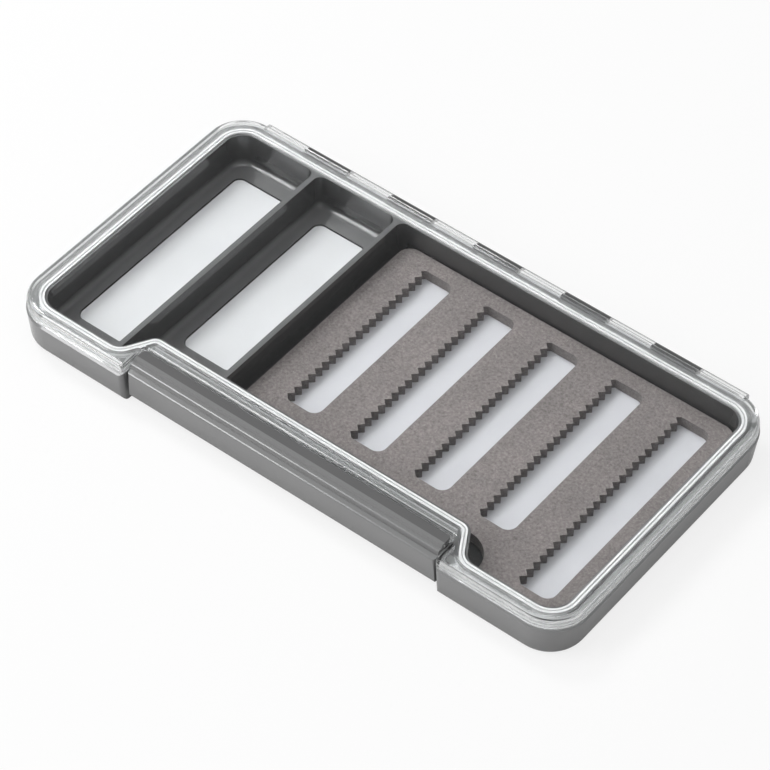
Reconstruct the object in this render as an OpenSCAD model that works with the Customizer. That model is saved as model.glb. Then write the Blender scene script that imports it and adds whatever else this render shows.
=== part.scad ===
// Slim fishing fly box: a moulded tray with two bins and a slotted foam bay, a clear hinged lid,
// a full-length rear hinge on one pin, a swing-down front latch and a soft rim seal.
// Millimetres, +Z up, the box lies on Z = 0, the latch faces -Y, the hinge is at +Y.

/* [Body] */
// length of the tray over its rim
body_l = 190; // [188:1:194]
// width of the tray over its rim
body_w = 100; // [99:1:102]
// height of the outer rim that the lid's skirt stands over
rim_z = 11.3; // [11.1:0.1:11.5]
// height of the inner lip and of the dividers
lip_z = 13.0; // [12.8:0.1:13.2]
// plan radius of the outer corners
corner_r = 12; // [11:0.5:13]
// how far the outer wall leans in from rim to base
draft = 1.1; // [0.8:0.1:1.3]
// radius along the bottom edge
bottom_r = 2.6; // [2:0.2:3]

/* [Lid] */
// height of the lid's flat top above the table
lid_z = 15.4; // [15.2:0.1:15.8]
// thickness of the lid's flat top
lid_t = 1.6; // [1.4:0.1:1.7]
// thickness of the lid's skirt
skirt_t = 1.3; // [1.2:0.1:1.4]
// radius along the lid's top edge
lid_r = 1.8; // [1.4:0.2:2]

/* [Bins] */
// width of the first bin along X
bin1_w = 27.85; // [26:0.05:28]
// width of the second bin along X
bin2_w = 28.2; // [27:0.1:29]
// thickness of the two dividers
divider_t = 1.6; // [1.4:0.1:1.8]
// height of the bin floors
floor_z = 2.0; // [1.8:0.1:2.2]

/* [Foam] */
// thickness of the foam sheet
foam_t = 3.4; // [3:0.1:3.6]
// distance between the slots
slot_pitch = 22; // [21:0.5:22]
// width of a slot from the tooth roots to the straight edge
slot_w = 11.4; // [10:0.2:12]
// distance between the teeth along a slot
tooth_pitch = 3.01; // [2.95:0.01:3.03]

/* [Hinge] */
// radius of the hinge knuckles
knuckle_r = 2.15; // [2:0.05:2.2]
// length of one knuckle with its gap
knuckle_l = 15.3; // [15:0.1:15.4]
// radius of the hinge pin
pin_r = 0.8; // [0.7:0.05:0.9]

/* [Latch] */
// half the length of the latch
latch_half = 52.8; // [51:0.2:52.8]
// height of the latch's pivot
latch_pivot_z = 4.6; // [4.4:0.1:4.8]

/* [Hidden] */
$fn = 96;
half_l = body_l / 2;
half_w = body_w / 2;
over = 1;
tiny = 0.01;
// hairline left between a sheet and what it is stuck to
bed = 0.02;

// the lip's inner outline, on which the seal and the bay are laid out
lip_inset = 6.05;
lip_l = half_l - lip_inset;
lip_w = half_w - lip_inset;
lip_r = 6;
lip_t = 0.7;
seal_in = 0.8;
seal_out = 2.3;
seal_top = 13.5;
bead = 0.55;
bead_groove = 0.8;
arc_ease = 0.01;

// the bay behind the latch: its depth and the S curve at each end
bay_top = -33.95;
s_r = 4;
s_angle = 60;
s_x = 51.8;
s_run = 6.93;
s_w = 2 * s_r * sin(s_angle) + s_run * cos(s_angle);
bay_foot_x = s_x + s_w;

// outer wall
rim_bevel = 0.5;
wall_z = rim_z - rim_bevel;
draft_angle = atan(draft / wall_z);
recess_x = 53.8;
recess_y = -40.7;
recess_r = 1.2;
mouth_r = 1.5;

// dividers and bins
bin1_x0 = -lip_l;
bin1_x1 = bin1_x0 + bin1_w;
bin2_x0 = bin1_x1 + divider_t;
bin2_x1 = bin2_x0 + bin2_w;
foam_x0 = bin2_x1 + divider_t;
bin_r = 2.5;
fillet = 2.0;
foam_floor = 1.5;

// recessed pads in the bin floors
pad_t = 0.8;
pad_top = 1.6;
pad_gap = 0.25;
pad_r = 2.5;
pad1_x0 = -84.0;
pad1_x1 = bin1_x1 - (pad1_x0 - bin1_x0);
pad1_y0 = -34.1;
pad2_x0 = -54.3;
pad2_x1 = bin2_x1 - (pad2_x0 - bin2_x0);
pad2_y0 = -23.8;
pad_y1 = 37.3;

// foam
back_t = 1.0;
back_inset = 1.2;
foam_z = foam_floor + back_t + 2 * bed;
foam_top = foam_z + foam_t;
foam_margin = 3;
foam_left = foam_x0 + foam_margin;
foam_gap = 0.55;
foam_r = 4;
foam_corner = 5.5;
foam_cut_x = 60.5;
foam_cut_y = -31.0;
foam_cut_r = 8.5;
slot_x_last = 82.1;
slots = 5;
slot_end = 38.4;
slot_r = 3;
root_last = 37.4;
teeth_short = 21;
teeth_long = 25;
front_short = -24.5;
front_long = -36.85;
tooth_d = tooth_pitch / 2;

// lid
lid_inset = 0.3;
lid_l = half_l - lid_inset;
lid_w = half_w - lid_inset;
lid_corner = corner_r - lid_inset;
lid_gap = 0.45;
skirt_z = rim_z + lid_gap;
lid_under = lid_z - lid_t;
lid_bay_x = 53.6;
lid_bay_y = -40.3;
lid_bay_r = 1.2;
lid_mouth_r = 1.2;
bay_edge_r = 1.0;
// the rib round the seal, under the lid's top
rib_in = 2.65;
rib_out = 3.5;

// hinge
hinge_y = half_w + 0.4;
hinge_z = rim_z + 0.1;
knuckle_gap = 0.3;
knuckle_clear = 0.35;
pin_clear = 0.05;
knuckles = 11;
hinge_half = knuckles * knuckle_l / 2;
web_in = 2.0;
web_drop = 0.1;
lid_web = hinge_z + knuckle_r - skirt_z - web_drop;

// latch
latch_pivot_y = -45.2;
latch_barrel_r = 2.1;
trunnion_r = 1.3;
trunnion_clear = 0.08;
trunnion_l = 2.4;
trunnion_end = 0.4;
latch_rear = -41.0;
latch_foot = 2.6;
latch_front = -47.9;
ridge2_y = -48.05;
ridge2_z = 11.9;
ridge2_r = 0.55;
groove_y = -47.0;
groove_z = 12.7;
ridge1_y = -46.35;
ridge1_z = 13.95;
ridge1_r = 0.5;
step_y = -45.35;
step_z = 14.95;
arm_under = 13.2;
plate_in = -45.5;
latch_end_r = 0.9;
latch_rear_r = 1.3;

// ---------- shared 2D shapes ----------

module round_rect(hx, hy, r) {
    square([2 * hx - 2 * r, 2 * hy], center = true);
    square([2 * hx, 2 * hy - 2 * r], center = true);
    for (sx = [-1, 1], sy = [-1, 1]) {
        translate([sx * (hx - r), sy * (hy - r)]) circle(r);
    }
}

// rectangle from corner to corner with radius ra at the left and rb at the right
module span_rect(x0, x1, y0, y1, ra, rb) {
    translate([x0 + ra, y0]) square([x1 - x0 - ra - rb, y1 - y0]);
    translate([x0, y0 + ra]) square([ra + tiny, y1 - y0 - 2 * ra]);
    translate([x1 - rb - tiny, y0 + rb]) square([rb + tiny, y1 - y0 - 2 * rb]);
    for (y = [y0 + ra, y1 - ra]) {
        translate([x0 + ra, y]) circle(ra);
    }
    for (y = [y0 + rb, y1 - rb]) {
        translate([x1 - rb, y]) circle(rb);
    }
}

// the S curve's right half of the bay block, grown outwards by o into the seal's side;
// ease takes the arcs slightly past the slope, for outlines whose tangent points lie close together
module bay_half(o, ease) {
    nx = sin(s_angle);
    ny = cos(s_angle);
    y1 = bay_top - s_r;
    y2 = -lip_w + s_r;
    difference() {
        union() {
            polygon([
                [-tiny, -half_w - over],
                [-tiny, bay_top - o],
                [s_x, bay_top - o],
                [s_x + (s_r - o) * nx, y1 + (s_r - o) * ny],
                [bay_foot_x - (s_r + o) * nx, y2 - (s_r + o) * ny],
                [bay_foot_x, -lip_w - o],
                [bay_foot_x, -half_w - over]
            ]);
            translate([s_x, y1]) circle(s_r - o + ease);
        }
        translate([bay_foot_x, y2]) circle(s_r + o + ease);
    }
}

module bay_block(o, ease = 0) {
    bay_half(o, ease);
    mirror([1, 0]) bay_half(o, ease);
}

// everything inside the lip's inner edge, grown by o
module bay_outline(o, ease = 0) {
    difference() {
        round_rect(lip_l + o, lip_w + o, lip_r + o);
        bay_block(o, ease);
    }
}

// a band along the lip's outline, from o0 to o1 outside its inner edge
module bay_band(o0, o1) {
    difference() {
        bay_outline(o1, arc_ease);
        bay_outline(o0, arc_ease);
    }
}

// rectangular recess with rounded rear corners, open to the front
module recess_shape(x, y, r) {
    translate([-x + r, -half_w - 2 * over]) square([2 * x - 2 * r, y + half_w + 2 * over]);
    translate([-x, -half_w - 2 * over]) square([2 * x, y - r + half_w + 2 * over]);
    for (sx = [-1, 1]) {
        translate([sx * (x - r), y - r]) circle(r);
    }
}

// ---------- shared solids ----------

// sweeps a wall profile drawn from the corner centre outwards round a rounded rectangle
module swept_block(hx, hy, r, z0, z1) {
    for (a = [0, 90, 180, 270]) {
        sx = (a == 0 || a == 270) ? 1 : -1;
        sy = (a == 0 || a == 90) ? 1 : -1;
        translate([sx * (hx - r), sy * (hy - r), 0]) rotate([0, 0, a])
            rotate_extrude(angle = 90) children();
    }
    for (s = [0, 180]) {
        rotate([0, 0, s]) translate([hx - r, hy - r, 0]) rotate([90, 0, 0])
            linear_extrude(2 * (hy - r)) children();
        rotate([0, 0, s]) translate([-hx + r, hy - r, 0]) rotate([90, 0, 90])
            linear_extrude(2 * (hx - r)) children();
    }
    translate([-hx + r, -hy + r, z0]) cube([2 * (hx - r), 2 * (hy - r), z1 - z0]);
}

// outer wall of the tray: bottom round, draft and a small bevel at the rim
module tray_profile() {
    cx = corner_r - draft * (wall_z - bottom_r) / wall_z - bottom_r / cos(draft_angle);
    polygon([
        [0, 0],
        [cx, 0],
        [cx + bottom_r * cos(draft_angle), bottom_r * (1 - sin(draft_angle))],
        [corner_r, wall_z],
        [corner_r - rim_bevel, rim_z],
        [0, rim_z]
    ]);
    translate([cx, bottom_r]) circle(bottom_r);
}

module lid_profile() {
    square([lid_corner - lid_r, lid_z - skirt_z]);
    square([lid_corner, lid_z - skirt_z - lid_r]);
    translate([lid_corner - lid_r, lid_z - skirt_z - lid_r]) circle(lid_r);
}

// a bin with a rounded foot all round; ra at the left corners, bin_r at the right ones
module bin_hollow(x0, x1, y0, y1, ra) {
    top = lip_z + over;
    rb = bin_r;
    module foot_profile(r) {
        translate([0, floor_z + fillet]) square([r, top - floor_z - fillet]);
        translate([0, floor_z]) square([r - fillet, fillet + tiny]);
        intersection() {
            translate([r - fillet, floor_z + fillet]) circle(fillet);
            translate([0, floor_z]) square([r, fillet + tiny]);
        }
    }
    translate([x0 + ra, y1 - ra, 0]) rotate([0, 0, 90]) rotate_extrude(angle = 90) foot_profile(ra);
    translate([x0 + ra, y0 + ra, 0]) rotate([0, 0, 180]) rotate_extrude(angle = 90) foot_profile(ra);
    translate([x1 - rb, y1 - rb, 0]) rotate_extrude(angle = 90) foot_profile(rb);
    translate([x1 - rb, y0 + rb, 0]) rotate([0, 0, 270]) rotate_extrude(angle = 90) foot_profile(rb);
    translate([x0 + ra, y1 - rb, 0]) rotate([90, 0, 90])
        linear_extrude(x1 - x0 - ra - rb) foot_profile(rb);
    translate([x1 - rb, y0 + rb, 0]) rotate([90, 0, 270])
        linear_extrude(x1 - x0 - ra - rb) foot_profile(rb);
    translate([x0 + ra, y0 + ra, 0]) rotate([90, 0, 180])
        linear_extrude(y1 - y0 - 2 * ra) foot_profile(ra);
    translate([x1 - rb, y1 - rb, 0]) rotate([90, 0, 0])
        linear_extrude(y1 - y0 - 2 * rb) foot_profile(rb);
    translate([x0 + ra, y0 + rb, floor_z]) cube([x1 - x0 - ra - rb, y1 - y0 - 2 * rb, top - floor_z]);
}

module knuckle_row(first, r, l) {
    for (i = [first : 2 : knuckles - 1]) {
        translate([-hinge_half + (i + 0.5) * knuckle_l, hinge_y, hinge_z]) rotate([0, 90, 0])
            cylinder(h = l, r = r, center = true);
    }
}

module pad_shape(x0, x1, y0, y1, o) {
    span_rect(x0 - o, x1 + o, y0 - o, y1 + o, pad_r + o, pad_r + o);
}

// ---------- the sub-parts ----------

module tray_body() {
    difference() {
        union() {
            swept_block(half_l, half_w, corner_r, 0, rim_z) tray_profile();
            translate([0, 0, rim_z - over]) linear_extrude(lip_z - rim_z + over) bay_outline(lip_t);
            knuckle_row(1, knuckle_r, knuckle_l - knuckle_gap);
            for (i = [1 : 2 : knuckles - 1]) {
                translate([-hinge_half + i * knuckle_l + knuckle_gap / 2, hinge_y - web_in, hinge_z - knuckle_r])
                    cube([knuckle_l - knuckle_gap, web_in, rim_z - hinge_z + knuckle_r]);
            }
        }
        knuckle_row(0, knuckle_r + knuckle_clear, knuckle_l);
        translate([0, hinge_y, hinge_z]) rotate([0, 90, 0])
            cylinder(h = 2 * hinge_half, r = pin_r + pin_clear, center = true);
        latch_recess();
    }
}

// where the latch sits, with rounded outer corners that follow the wall's draft
module latch_recess() {
    translate([0, 0, -over]) linear_extrude(rim_z + 2 * over)
        recess_shape(recess_x, recess_y, recess_r);
    for (m = [0, 1]) {
        mirror([m, 0, 0]) {
            translate([recess_x, -half_w, wall_z]) rotate([draft_angle, 0, 0])
                translate([0, 0, -rim_z - 2 * over]) linear_extrude(rim_z + 3 * over) difference() {
                    translate([-tiny, -2 * over]) square([mouth_r + tiny, mouth_r + 2 * over]);
                    translate([mouth_r, mouth_r]) circle(mouth_r);
                }
            translate([recess_x - over, latch_pivot_y, latch_pivot_z]) rotate([0, 90, 0])
                cylinder(h = latch_half + trunnion_l + trunnion_end - recess_x + over,
                         r = trunnion_r + trunnion_clear);
        }
    }
}

module bay_wall() {
    linear_extrude(lip_z + 2 * over) bay_block(0);
}

module bin_1_hollow() {
    difference() {
        bin_hollow(bin1_x0, bin1_x1, -lip_w, lip_w, lip_r);
        bay_wall();
    }
}

module bin_2_hollow() {
    bin_hollow(bin2_x0, bin2_x1, bay_top, lip_w, bin_r);
    translate([0, 0, floor_z + fillet]) linear_extrude(lip_z - floor_z) difference() {
        translate([bin2_x0, -lip_w]) square([bin2_x1 - bin2_x0 - bin_r, bay_top + lip_w + bin_r]);
        bay_block(0);
    }
}

module foam_bay() {
    translate([0, 0, foam_floor]) linear_extrude(lip_z) difference() {
        span_rect(foam_x0, lip_l, -lip_w, lip_w, bin_r, lip_r);
        bay_block(0);
    }
}

module pad_pocket(x0, x1, y0, y1) {
    translate([0, 0, pad_top - pad_t - bed]) linear_extrude(floor_z)
        pad_shape(x0, x1, y0, y1, pad_gap);
}

module base_tray() {
    color([0.46, 0.46, 0.46]) difference() {
        tray_body();
        bin_1_hollow();
        bin_2_hollow();
        foam_bay();
        pad_pocket(pad1_x0, pad1_x1, pad1_y0, pad_y1);
        pad_pocket(pad2_x0, pad2_x1, pad2_y0, pad_y1);
    }
}

module bin_pad_1() {
    color([0.9, 0.91, 0.92]) translate([0, 0, pad_top - pad_t]) linear_extrude(pad_t)
        pad_shape(pad1_x0, pad1_x1, pad1_y0, pad_y1, 0);
}

module bin_pad_2() {
    color([0.9, 0.91, 0.92]) translate([0, 0, pad_top - pad_t]) linear_extrude(pad_t)
        pad_shape(pad2_x0, pad2_x1, pad2_y0, pad_y1, 0);
}

// the sheet's outline, drawn in by o, with its front left quarter cut away round the bay
module foam_outline(o) {
    cut_r = foam_cut_r + o;
    difference() {
        span_rect(foam_left + o, lip_l - foam_gap - o, -lip_w + foam_gap + o, lip_w - foam_gap - o,
                  foam_r - o, foam_corner - o);
        translate([foam_left - over, -half_w])
            square([foam_cut_x + o - cut_r - foam_left + over, foam_cut_y + o + half_w]);
        translate([foam_left - over, -half_w])
            square([foam_cut_x + o - foam_left + over, foam_cut_y + o - cut_r + half_w]);
        translate([foam_cut_x + o - cut_r, foam_cut_y + o - cut_r]) circle(cut_r);
    }
}

// one slot: a row of right-angled teeth on the left, a straight edge on the right
module slot_shape(xr, front, n) {
    root = xr - slot_w;
    first = root_last - (n - 1) * tooth_pitch;
    polygon(concat(
        [[xr - slot_r, front], [root + first - front, front]],
        [for (i = [0 : n - 1], j = [0, 1])
            if (i < n - 1 || j == 0)
                [root + j * tooth_d, first + i * tooth_pitch + j * tooth_d]],
        [[root + slot_end - root_last, slot_end], [xr - slot_r, slot_end]]
    ));
    translate([xr - slot_r - tiny, front + slot_r]) square([slot_r + tiny, slot_end - front - 2 * slot_r]);
    for (y = [front + slot_r, slot_end - slot_r]) {
        translate([xr - slot_r, y]) circle(slot_r);
    }
}

module foam_backing() {
    color([0.86, 0.87, 0.89]) translate([0, 0, foam_floor + bed]) linear_extrude(back_t)
        foam_outline(back_inset);
}

module foam_insert() {
    color([0.55, 0.52, 0.51]) translate([0, 0, foam_z]) linear_extrude(foam_t) difference() {
        foam_outline(0);
        for (k = [0 : slots - 1]) {
            slot_shape(slot_x_last - (slots - 1 - k) * slot_pitch,
                       k == slots - 1 ? front_long : front_short,
                       k == slots - 1 ? teeth_long : teeth_short);
        }
    }
}

// a flat strip with two beads along its top
module rim_seal() {
    color([0.88, 0.88, 0.86]) translate([0, 0, rim_z + bed]) difference() {
        linear_extrude(seal_top - rim_z - bed) bay_band(seal_in, seal_out);
        translate([0, 0, seal_top - rim_z - bed - bead_groove]) linear_extrude(bead_groove + over)
            bay_band(seal_in + bead, seal_out - bead);
    }
}

module hinge_pin() {
    color([0.7, 0.7, 0.72]) translate([0, hinge_y, hinge_z]) rotate([0, 90, 0])
        cylinder(h = 2 * hinge_half - 2 * knuckle_gap, r = pin_r, center = true);
}

module lid_shell() {
    difference() {
        translate([0, 0, skirt_z]) swept_block(lid_l, lid_w, lid_corner, 0, lid_z - skirt_z) lid_profile();
        translate([0, 0, skirt_z - over]) linear_extrude(lid_under - skirt_z + over) difference() {
            round_rect(lid_l - skirt_t, lid_w - skirt_t, lid_corner - skirt_t);
            recess_shape(lid_bay_x + skirt_t, lid_bay_y + skirt_t, lid_bay_r + skirt_t);
            bay_band(rib_in, rib_out);
        }
        translate([0, 0, skirt_z - over]) linear_extrude(lid_z - skirt_z + 2 * over)
            recess_shape(lid_bay_x, lid_bay_y, lid_bay_r);
        lid_bay_edge();
        knuckle_row(1, knuckle_r + knuckle_clear, knuckle_l);
    }
}

// rounds the top edge of the lid's bay and its two outer corners
module lid_bay_edge() {
    rc = lid_bay_r;
    module edge_profile() {
        difference() {
            translate([-tiny, -bay_edge_r]) square([bay_edge_r + tiny, bay_edge_r + over]);
            translate([bay_edge_r, -bay_edge_r]) circle(bay_edge_r);
        }
    }
    translate([-lid_bay_x + rc, lid_bay_y, lid_z]) rotate([90, 0, 90])
        linear_extrude(2 * lid_bay_x - 2 * rc) edge_profile();
    for (m = [0, 1]) {
        mirror([m, 0, 0]) {
            translate([lid_bay_x, lid_bay_y - rc, lid_z]) rotate([90, 0, 0])
                linear_extrude(half_w + over + lid_bay_y - rc) edge_profile();
            translate([lid_bay_x - rc, lid_bay_y - rc, lid_z])
                rotate_extrude(angle = 90) translate([rc, 0]) edge_profile();
            translate([lid_bay_x, -lid_w, skirt_z - over]) linear_extrude(lid_z - skirt_z + 2 * over)
                difference() {
                    translate([-tiny, -over]) square([lid_mouth_r + tiny, lid_mouth_r + over]);
                    translate([lid_mouth_r, lid_mouth_r]) circle(lid_mouth_r);
                }
        }
    }
}

module lid() {
    color([0.85, 0.87, 0.88, 0.3]) difference() {
        union() {
            lid_shell();
            knuckle_row(0, knuckle_r, knuckle_l - knuckle_gap);
            for (i = [0 : 2 : knuckles - 1]) {
                translate([-hinge_half + i * knuckle_l + knuckle_gap / 2, lid_w - skirt_t, skirt_z])
                    cube([knuckle_l - knuckle_gap, hinge_y - lid_w + skirt_t, lid_web]);
            }
        }
        translate([0, hinge_y, hinge_z]) rotate([0, 90, 0])
            cylinder(h = 2 * hinge_half + over, r = pin_r + pin_clear, center = true);
    }
}

module latch_section() {
    polygon([
        [latch_front + ridge2_r, latch_foot],
        [latch_front, latch_foot + ridge2_r],
        [ridge2_y - ridge2_r, ridge2_z],
        [ridge2_y, ridge2_z + ridge2_r],
        [groove_y, groove_z],
        [ridge1_y - ridge1_r, ridge1_z],
        [ridge1_y, ridge1_z + ridge1_r],
        [step_y - ridge1_r / 2, step_z - ridge1_r],
        [step_y + ridge1_r / 2, lid_z],
        [latch_rear - ridge1_r, lid_z],
        [latch_rear, lid_z - ridge1_r],
        [latch_rear, arm_under],
        [plate_in + ridge2_r, arm_under],
        [plate_in, arm_under - ridge2_r],
        [plate_in, latch_foot]
    ]);
    translate([latch_front + ridge2_r, latch_foot + ridge2_r]) circle(ridge2_r);
    translate([ridge2_y, ridge2_z]) circle(ridge2_r);
    translate([ridge1_y, ridge1_z]) circle(ridge1_r);
    translate([latch_rear - ridge1_r, lid_z - ridge1_r]) circle(ridge1_r);
    translate([latch_pivot_y, latch_pivot_z]) circle(latch_barrel_r);
}

module latch_plan() {
    y0 = ridge2_y - ridge2_r;
    for (s = [[latch_end_r, y0, latch_rear - latch_rear_r], [latch_rear_r, y0 + latch_end_r, latch_rear]]) {
        translate([-latch_half + s[0], s[1]]) square([2 * latch_half - 2 * s[0], s[2] - s[1]]);
    }
    translate([-latch_half, y0 + latch_end_r])
        square([2 * latch_half, latch_rear - latch_rear_r - y0 - latch_end_r]);
    for (sx = [-1, 1]) {
        translate([sx * (latch_half - latch_end_r), y0 + latch_end_r]) circle(latch_end_r);
        translate([sx * (latch_half - latch_rear_r), latch_rear - latch_rear_r]) circle(latch_rear_r);
    }
}

module latch() {
    color([0.5, 0.5, 0.5]) {
        intersection() {
            translate([-latch_half - over, 0, 0]) rotate([90, 0, 90])
                linear_extrude(2 * latch_half + 2 * over) latch_section();
            linear_extrude(lid_z + over) latch_plan();
        }
        translate([0, latch_pivot_y, latch_pivot_z]) rotate([0, 90, 0])
            cylinder(h = 2 * latch_half + 2 * trunnion_l, r = trunnion_r, center = true);
    }
}

base_tray();
bin_pad_1();
bin_pad_2();
foam_backing();
foam_insert();
rim_seal();
hinge_pin();
lid();
latch();
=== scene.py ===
import math

import bpy
from mathutils import Euler, Matrix, Vector


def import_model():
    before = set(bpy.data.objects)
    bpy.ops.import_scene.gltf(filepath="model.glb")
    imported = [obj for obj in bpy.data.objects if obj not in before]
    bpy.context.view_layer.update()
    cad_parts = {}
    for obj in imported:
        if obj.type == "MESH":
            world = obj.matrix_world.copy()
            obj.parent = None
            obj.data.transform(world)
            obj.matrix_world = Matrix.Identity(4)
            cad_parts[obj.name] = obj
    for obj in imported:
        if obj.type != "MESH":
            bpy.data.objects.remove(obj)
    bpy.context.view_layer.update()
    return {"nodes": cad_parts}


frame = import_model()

# ---------- camera, fitted to the photograph's outline and rim lines ----------

CAMERA_AT = (0.40361, -0.54912, 0.74877)
CAMERA_TURN = (42.388, -1.383, 37.896)  # degrees about X, Y and Z
SENSOR_MM = 36.0
LENS_MM = 170.9
NEAREST = 0.01  # what lies nearer to the camera than this isn't drawn

# ---------- light ----------

# each lamp: its place, its width and height, its power
KEY = ((-0.65, -0.80, 0.85), (0.26, 1.50), 9.0)
LEFT = ((-0.78, 0.15, 0.95), (0.30, 0.30), 5.0)
TOP = ((0.00, 0.05, 1.25), (0.60, 0.60), 2.2)
SKY_WHITE, SKY_LOW, SKY_BACK = 1.0, 0.58, 0.20  # to the camera, to the object, and at its dimmest
SKY_DARK_WAY = (-0.42, 0.56, 0.71)  # where the flat lid mirrors the sky to the camera
SKY_FADE = (0.55, 0.92)  # cosines of the angles to that way between which the sky dims
FLOOR_SIZE = 6.0
FLOOR_WHITE, FLOOR_WHITEST = 0.88, 0.89
FLOOR_GLOW = 0.80  # share of the floor's look that is plain white, to the camera and through the lid
FLOOR_GLOSS = 0.15  # share of that glow that reflections see
FLOOR_GAP = 0.00002

AIM = Vector((0.0, 0.0, 0.006))

# ---------- places on the part, in metres, that the finishes and the painted shade change at ---

INNER_X, INNER_Y = 0.0891, 0.0441  # just outside the lip's inner faces
WALL_FOOT, WALL_TOP = 0.003, 0.012  # heights between which the inner walls' painted shade lightens from their feet upwards
BIN_FLOOR = 0.0018  # the floors of the foam bay and of the pads' recesses lie below this, and get the darkest painted shade
HINGE_FRONT, HINGE_FOOT = 0.0483, 0.0092  # the knuckles lie behind and above these, and get painted shade
HINGE_END = 0.0842  # and no further than this from the middle
PANE_UNDER = 0.0137  # just below the underside of the lid's flat top

# ---------- finishes ----------

# grey plastic: where a finish has two shades, it varies between them with the flow of the moulding
OUTER_WALL = ((0.172, 0.172, 0.173), (0.184, 0.184, 0.184))
# painted light: the outer level faces are painted lighter than the outer walls
OUTER_LEVEL_PAINTED_LIGHT = (0.225, 0.228, 0.228)
# painted shade: inside the lip the plastic is painted darker, the level faces with the flow's two
# shades, the walls darkest at their feet, the sunk floors darkest of all
INNER_LEVEL_PAINTED_SHADE = ((0.130, 0.130, 0.132), (0.142, 0.142, 0.143))
INNER_WALL_FOOT_PAINTED_SHADE, INNER_WALL_TOP_PAINTED_SHADE = (0.030, 0.030, 0.031), (0.048, 0.048, 0.049)
SUNK_FLOOR_PAINTED_SHADE = (0.040, 0.040, 0.041)
# painted shade: the hinge knuckles at the back are painted dark
KNUCKLE_PAINTED_SHADE = (0.085, 0.085, 0.086)
SATIN = (0.11, 0.15)  # roughness outside
INNER_POLISH = 0.35  # roughness inside the lip, as a share of that outside

# foam, each from its darker to its lighter specks
FOAM_TOP = ((0.135, 0.120, 0.116), (0.290, 0.264, 0.257))
# the cut faces' specks, painted a little darker than the top's as painted shade
FOAM_CUT_PAINTED_SHADE = ((0.130, 0.117, 0.114), (0.245, 0.226, 0.221))
FOAM_PATCH = ((0.90, 0.90, 0.90), (1.06, 1.05, 1.05))  # multiplies the top's shades, patch by patch
CELL_SCALE = 3200

# white sheets, with their mean roughness, and the seal
PAD = ((0.685, 0.69, 0.705), (0.705, 0.71, 0.725), 0.35)
BACKING = ((0.58, 0.582, 0.612), (0.605, 0.607, 0.637), 0.5)
SHEET_SPREAD = 0.06  # how far the roughness of a sheet strays from its mean
SEAL = ((0.86, 0.86, 0.87), (0.93, 0.93, 0.93))

# clear plastic
CLEAR, CLEAR_HAZY = (0.985, 0.990, 0.990), (0.965, 0.972, 0.974)
CLEAR_SHADOW = (0.93, 0.94, 0.94)  # what a lamp's light keeps at each face
WALL_MILK = 0.20  # share of light that the lid's upright walls scatter
STEP_PITCH, STEP_DEPTH = 0.0012, 0.00005  # shallow steps that run round the lid's walls

# steel wire
STEEL = ((0.52, 0.52, 0.54), (0.70, 0.70, 0.71))


# ---------- small helpers for node materials ----------

class Nodes:
    """One material's node tree, with short calls for the nodes that several finishes share."""

    def __init__(self, name):
        self.mat = bpy.data.materials.new(name)
        self.mat.use_nodes = True
        self.tree = self.mat.node_tree
        self.tree.nodes.clear()
        self.out = self.add("ShaderNodeOutputMaterial")
        self.skin = self.add("ShaderNodeBsdfPrincipled")
        self.link(self.skin.outputs["BSDF"], self.out.inputs["Surface"])
        self.place = self.add("ShaderNodeTexCoord").outputs["Object"]

    def add(self, kind, **values):
        node = self.tree.nodes.new(kind)
        for key, value in values.items():
            setattr(node, key, value)
        return node

    def link(self, a, b):
        self.tree.links.new(a, b)

    def set(self, **values):
        for key, value in values.items():
            self.skin.inputs[key.replace("_", " ")].default_value = value

    def noise(self, scale, detail=3.0, rough=0.5, stretch=(1, 1, 1)):
        """Soft noise about 0.5, with stretch over 1 packing it closer along an axis."""
        shift = self.add("ShaderNodeMapping")
        shift.inputs["Scale"].default_value = stretch
        self.link(self.place, shift.inputs["Vector"])
        tex = self.add("ShaderNodeTexNoise")
        tex.inputs["Scale"].default_value = scale
        tex.inputs["Detail"].default_value = detail
        tex.inputs["Roughness"].default_value = rough
        self.link(shift.outputs["Vector"], tex.inputs["Vector"])
        return tex.outputs["Fac"]

    def spread(self, value, low, high, to_low=0.0, to_high=1.0):
        """value, stretched so that low to high becomes to_low to to_high, and held between them."""
        ramp = self.add("ShaderNodeMapRange")
        limits = {"From Min": low, "From Max": high, "To Min": to_low, "To Max": to_high}
        for key, number in limits.items():
            ramp.inputs[key].default_value = number
        self.link(value, ramp.inputs["Value"])
        return ramp.outputs["Result"]

    def blend(self, factor, a, b, kind="MIX"):
        """Colour a where factor is 0 and b, mixed in by kind, where it is 1."""
        mix = self.add("ShaderNodeMix", data_type="RGBA", blend_type=kind)
        if isinstance(factor, (int, float)):
            mix.inputs["Factor"].default_value = factor
        else:
            self.link(factor, mix.inputs["Factor"])
        for socket, colour in ((mix.inputs["A"], a), (mix.inputs["B"], b)):
            if isinstance(colour, tuple):
                socket.default_value = (*colour, 1.0)
            else:
                self.link(colour, socket)
        return mix.outputs["Result"]

    def math(self, what, a, b=0.0):
        node = self.add("ShaderNodeMath", operation=what)
        for socket, value in ((node.inputs[0], a), (node.inputs[1], b)):
            if isinstance(value, (int, float)):
                socket.default_value = value
            else:
                self.link(value, socket)
        return node.outputs[0]

    def axes(self, socket):
        split = self.add("ShaderNodeSeparateXYZ")
        self.link(socket, split.inputs[0])
        return split.outputs

    def facing_up(self, low, high):
        """0 on walls and 1 on level faces, with low and high as the slopes between."""
        normal = self.add("ShaderNodeNewGeometry").outputs["True Normal"]
        return self.spread(self.math("ABSOLUTE", self.axes(normal)["Z"]), low, high)

    def bump(self, height, depth, strength=1.0, under=None):
        node = self.add("ShaderNodeBump")
        node.inputs["Distance"].default_value = depth
        node.inputs["Strength"].default_value = strength
        self.link(height, node.inputs["Height"])
        if under is not None:
            self.link(under, node.inputs["Normal"])
        return node.outputs["Normal"]


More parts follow.
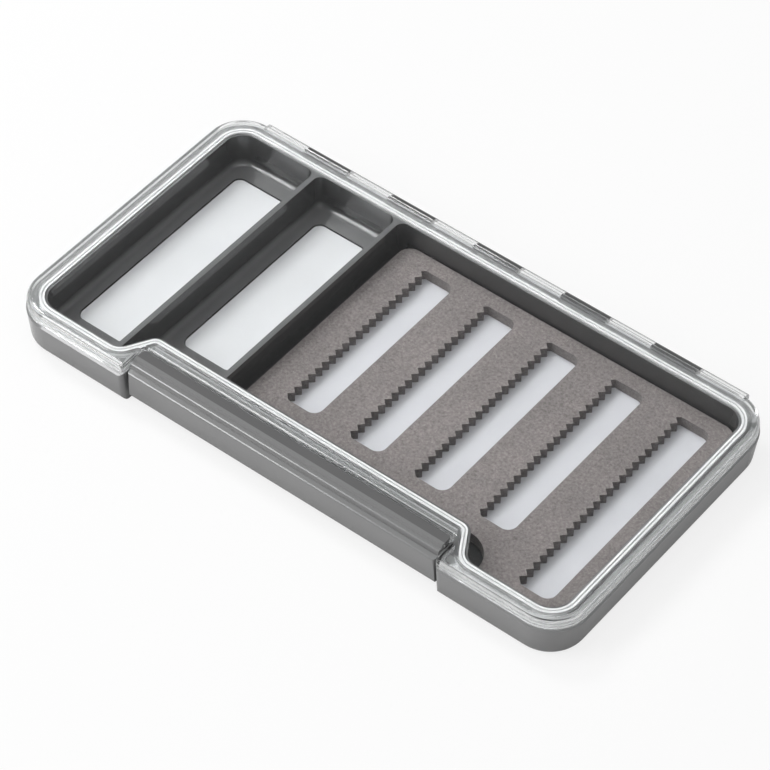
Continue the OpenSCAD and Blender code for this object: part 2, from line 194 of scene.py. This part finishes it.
def grey_plastic():
    """Grey moulded plastic: satin outside and polished inside the lip; painted light makes the outer
    level faces lighter, painted shade darkens inside the lip and the knuckles.
    """
    n = Nodes("grey_plastic")
    flow = n.spread(n.noise(34, 4, 0.55), 0.3, 0.7)
    # painted light and shade: level faces are painted lighter than walls, outside and inside the lip
    level_painted_lighter = n.facing_up(0.3, 0.95)
    place = n.axes(n.place)
    from_middle = n.math("ABSOLUTE", place["X"])

    outside = n.blend(level_painted_lighter, n.blend(flow, *OUTER_WALL), OUTER_LEVEL_PAINTED_LIGHT)

    # painted shade inside the lip: walls darken towards their feet, and the sunk floors round the
    # pads and under the foam are darker still
    height = n.spread(place["Z"], WALL_FOOT, WALL_TOP)
    wall = n.blend(height, INNER_WALL_FOOT_PAINTED_SHADE, INNER_WALL_TOP_PAINTED_SHADE)
    sunk_painted_shade_mask = n.math("LESS_THAN", place["Z"], BIN_FLOOR)
    level = n.blend(sunk_painted_shade_mask, n.blend(flow, *INNER_LEVEL_PAINTED_SHADE), SUNK_FLOOR_PAINTED_SHADE)
    inside = n.blend(level_painted_lighter, wall, level)

    across = n.math("LESS_THAN", from_middle, INNER_X)
    along = n.math("LESS_THAN", n.math("ABSOLUTE", place["Y"]), INNER_Y)
    within_lip_shade_and_polish = n.math("MULTIPLY", across, along)

    # painted shade on the knuckles, behind and above the tray's back
    behind = n.math("GREATER_THAN", place["Y"], HINGE_FRONT)
    above = n.math("GREATER_THAN", place["Z"], HINGE_FOOT)
    between = n.math("LESS_THAN", from_middle, HINGE_END)
    knuckle_painted_shade_mask = n.math("MULTIPLY", n.math("MULTIPLY", behind, above), between)

    colour = n.blend(knuckle_painted_shade_mask, n.blend(within_lip_shade_and_polish, outside, inside), KNUCKLE_PAINTED_SHADE)
    n.link(colour, n.skin.inputs["Base Color"])
    satin = n.spread(n.noise(900, 4, 0.6), 0.3, 0.7, *SATIN)
    polish = n.spread(within_lip_shade_and_polish, 0, 1, 1.0, INNER_POLISH)
    n.link(n.math("MULTIPLY", satin, polish), n.skin.inputs["Roughness"])
    n.link(n.bump(n.noise(3200, 2), 0.000004, 0.3), n.skin.inputs["Normal"])
    n.set(IOR=1.52, Specular_IOR_Level=0.75)
    return n.mat


def foam():
    """Closed-cell foam: warm grey, speckled by its cells, matt and slightly pitted."""
    n = Nodes("grey_foam")
    cells = n.add("ShaderNodeTexVoronoi")
    cells.inputs["Scale"].default_value = CELL_SCALE
    n.link(n.place, cells.inputs["Vector"])
    speckle = n.spread(n.noise(1300, 4, 0.8), 0.34, 0.68)
    patch = n.blend(n.spread(n.noise(70, 3), 0.3, 0.7), *FOAM_PATCH)
    top = n.blend(1.0, n.blend(speckle, *FOAM_TOP), patch, "MULTIPLY")
    # painted shade: the cut faces take specks a little darker than the top's
    cut_edge_painted_shade = n.blend(speckle, *FOAM_CUT_PAINTED_SHADE)
    n.link(n.blend(n.facing_up(0.3, 0.7), cut_edge_painted_shade, top), n.skin.inputs["Base Color"])
    n.link(n.spread(speckle, 0, 1, 0.75, 0.95), n.skin.inputs["Roughness"])
    pits = n.bump(cells.outputs["Distance"], 0.00006, 0.5)
    n.link(n.bump(n.noise(900, 4, 0.7), 0.00008, 0.5, pits), n.skin.inputs["Normal"])
    n.set(Specular_IOR_Level=0.25)
    return n.mat


def white_sheet(name, low, high, rough):
    """Smooth white sheet with a very faint mottle."""
    n = Nodes(name)
    n.link(n.blend(n.spread(n.noise(90, 4), 0.3, 0.7), low, high), n.skin.inputs["Base Color"])
    sheen = n.spread(n.noise(220, 3), 0.3, 0.7, rough - SHEET_SPREAD, rough + SHEET_SPREAD)
    n.link(sheen, n.skin.inputs["Roughness"])
    n.link(n.bump(n.noise(700, 2), 0.00001, 0.4), n.skin.inputs["Normal"])
    return n.mat


def seal_rubber():
    """Translucent silicone, a little grey where the tray shows through."""
    n = Nodes("soft_seal")
    n.link(n.blend(n.spread(n.noise(160, 3), 0.3, 0.7), *SEAL), n.skin.inputs["Base Color"])
    n.link(n.spread(n.noise(300, 3), 0.3, 0.7, 0.16, 0.26), n.skin.inputs["Roughness"])
    n.link(n.bump(n.noise(500, 2), 0.00002, 0.4), n.skin.inputs["Normal"])
    n.set(Transmission_Weight=0.10, IOR=1.41)
    return n.mat


def clear_plastic():
    """Clear polished moulding with slightly milky, stepped walls. Lamps shine straight through it."""
    n = Nodes("clear_plastic")
    haze = n.spread(n.noise(40, 5, 0.6, (1, 2, 1)), 0.35, 0.75)
    n.link(n.blend(haze, CLEAR, CLEAR_HAZY), n.skin.inputs["Base Color"])
    n.link(n.spread(haze, 0, 1, 0.012, 0.03), n.skin.inputs["Roughness"])
    n.set(IOR=1.55)
    height = n.axes(n.place)["Z"]
    wall = n.math("LESS_THAN", height, PANE_UNDER)
    steep = n.math("SUBTRACT", 1.0, n.facing_up(0.2, 0.6))
    wave = n.math("SINE", n.math("MULTIPLY", height, 2 * math.pi / STEP_PITCH))
    flow = n.bump(n.noise(55, 3), 0.00002, 0.12)
    steps = n.bump(n.math("MULTIPLY", wave, steep), STEP_DEPTH, 1.0, flow)
    n.link(steps, n.skin.inputs["Normal"])
    milky = n.math("MULTIPLY", n.math("MULTIPLY", wall, steep), WALL_MILK)
    n.link(n.math("SUBTRACT", 1.0, milky), n.skin.inputs["Transmission Weight"])
    shadow = n.add("ShaderNodeBsdfTransparent")
    shadow.inputs["Color"].default_value = (*CLEAR_SHADOW, 1.0)
    rays = n.add("ShaderNodeLightPath")
    mix = n.add("ShaderNodeMixShader")
    n.link(rays.outputs["Is Shadow Ray"], mix.inputs[0])
    n.link(n.skin.outputs["BSDF"], mix.inputs[1])
    n.link(shadow.outputs["BSDF"], mix.inputs[2])
    n.link(mix.outputs["Shader"], n.out.inputs["Surface"])
    return n.mat


def drawn_wire():
    """Bright drawn steel wire."""
    n = Nodes("pin_steel")
    streak = n.spread(n.noise(900, 3, 0.6, (0.05, 1, 1)), 0.3, 0.7)
    n.link(n.blend(streak, *STEEL), n.skin.inputs["Base Color"])
    n.link(n.spread(streak, 0, 1, 0.22, 0.40), n.skin.inputs["Roughness"])
    n.set(Metallic=1.0)
    return n.mat


# ---------- the part ----------

def dress(node, material):
    obj = frame["nodes"][node]
    obj.data.materials.clear()
    obj.data.materials.append(material)
    for slot in obj.material_slots:
        slot.material = material


def dress_all():
    plastic = grey_plastic()
    white = white_sheet("white_pad", *PAD)
    finishes = {
        "base_tray": plastic,
        "latch": plastic,
        "bin_pad_1": white,
        "bin_pad_2": white,
        "foam_backing": white_sheet("white_backing", *BACKING),
        "foam_insert": foam(),
        "rim_seal": seal_rubber(),
        "hinge_pin": drawn_wire(),
        "lid": clear_plastic(),
    }
    for node, material in finishes.items():
        dress(node, material)


# ---------- stage ----------

def floor():
    """Plain pale floor: it takes the object's shadow, and glows white to the camera and the lid."""
    half = FLOOR_SIZE / 2
    corners = [(-half, -half), (half, -half), (half, half), (-half, half)]
    mesh = bpy.data.meshes.new("floor")
    mesh.from_pydata([(x, y, -FLOOR_GAP) for x, y in corners], [], [(0, 1, 2, 3)])
    obj = bpy.data.objects.new("floor", mesh)
    bpy.context.scene.collection.objects.link(obj)
    n = Nodes("floor_white")
    paint = n.blend(n.noise(3, 2), (FLOOR_WHITE,) * 3, (FLOOR_WHITEST,) * 3)
    n.link(paint, n.skin.inputs["Base Color"])
    n.set(Roughness=0.9, Specular_IOR_Level=0.1)
    rays = n.add("ShaderNodeLightPath")
    direct = n.math("MAXIMUM", rays.outputs["Is Camera Ray"], rays.outputs["Is Transmission Ray"])
    mirrored = n.math("MULTIPLY", rays.outputs["Is Glossy Ray"], FLOOR_GLOSS)
    share = n.math("MULTIPLY", n.math("MAXIMUM", direct, mirrored), FLOOR_GLOW)
    glow = n.add("ShaderNodeEmission")
    mix = n.add("ShaderNodeMixShader")
    n.link(share, mix.inputs[0])
    n.link(n.skin.outputs["BSDF"], mix.inputs[1])
    n.link(glow.outputs["Emission"], mix.inputs[2])
    n.link(mix.outputs["Shader"], n.out.inputs["Surface"])
    mesh.materials.append(n.mat)


def lamp(name, at, size, watts):
    """Area lamp that looks at the object, its width kept as near the X axis as that allows."""
    data = bpy.data.lights.new(name, "AREA")
    data.shape = "RECTANGLE"
    data.size, data.size_y = size
    data.energy = watts
    obj = bpy.data.objects.new(name, data)
    obj.location = at
    back = (Vector(at) - AIM).normalized()
    across = Vector((1, 0, 0))
    across = (across - across.dot(back) * back).normalized()
    obj.rotation_euler = Matrix((across, back.cross(across), back)).transposed().to_euler()
    bpy.context.scene.collection.objects.link(obj)


def world():
    """White to the camera; to the object dimmer, and dimmest behind and above it."""
    sky = bpy.data.worlds.new("studio")
    bpy.context.scene.world = sky
    sky.use_nodes = True
    tree = sky.node_tree
    tree.nodes.clear()
    place = tree.nodes.new("ShaderNodeTexCoord")
    facing = tree.nodes.new("ShaderNodeVectorMath")
    facing.operation = "DOT_PRODUCT"
    facing.inputs[1].default_value = SKY_DARK_WAY
    fade = tree.nodes.new("ShaderNodeMapRange")
    fade.interpolation_type = "SMOOTHSTEP"
    limits = {"From Min": SKY_FADE[0], "From Max": SKY_FADE[1], "To Min": SKY_LOW, "To Max": SKY_BACK}
    for key, number in limits.items():
        fade.inputs[key].default_value = number
    dim = tree.nodes.new("ShaderNodeBackground")
    white = tree.nodes.new("ShaderNodeBackground")
    white.inputs["Strength"].default_value = SKY_WHITE
    rays = tree.nodes.new("ShaderNodeLightPath")
    mix = tree.nodes.new("ShaderNodeMixShader")
    out = tree.nodes.new("ShaderNodeOutputWorld")
    tree.links.new(place.outputs["Generated"], facing.inputs[0])
    tree.links.new(facing.outputs["Value"], fade.inputs["Value"])
    tree.links.new(fade.outputs["Result"], dim.inputs["Strength"])
    tree.links.new(rays.outputs["Is Camera Ray"], mix.inputs[0])
    tree.links.new(dim.outputs[0], mix.inputs[1])
    tree.links.new(white.outputs[0], mix.inputs[2])
    tree.links.new(mix.outputs[0], out.inputs["Surface"])


def camera():
    data = bpy.data.cameras.new("camera")
    data.sensor_width = SENSOR_MM
    data.lens = LENS_MM
    data.clip_start = NEAREST
    obj = bpy.data.objects.new("camera", data)
    obj.location = CAMERA_AT
    obj.rotation_euler = Euler([math.radians(a) for a in CAMERA_TURN], "XYZ")
    bpy.context.scene.collection.objects.link(obj)
    bpy.context.scene.camera = obj


camera()
world()
lamp("key", *KEY)
lamp("left", *LEFT)
lamp("top", *TOP)
floor()
dress_all()

bpy.context.scene.view_settings.view_transform = "Standard"
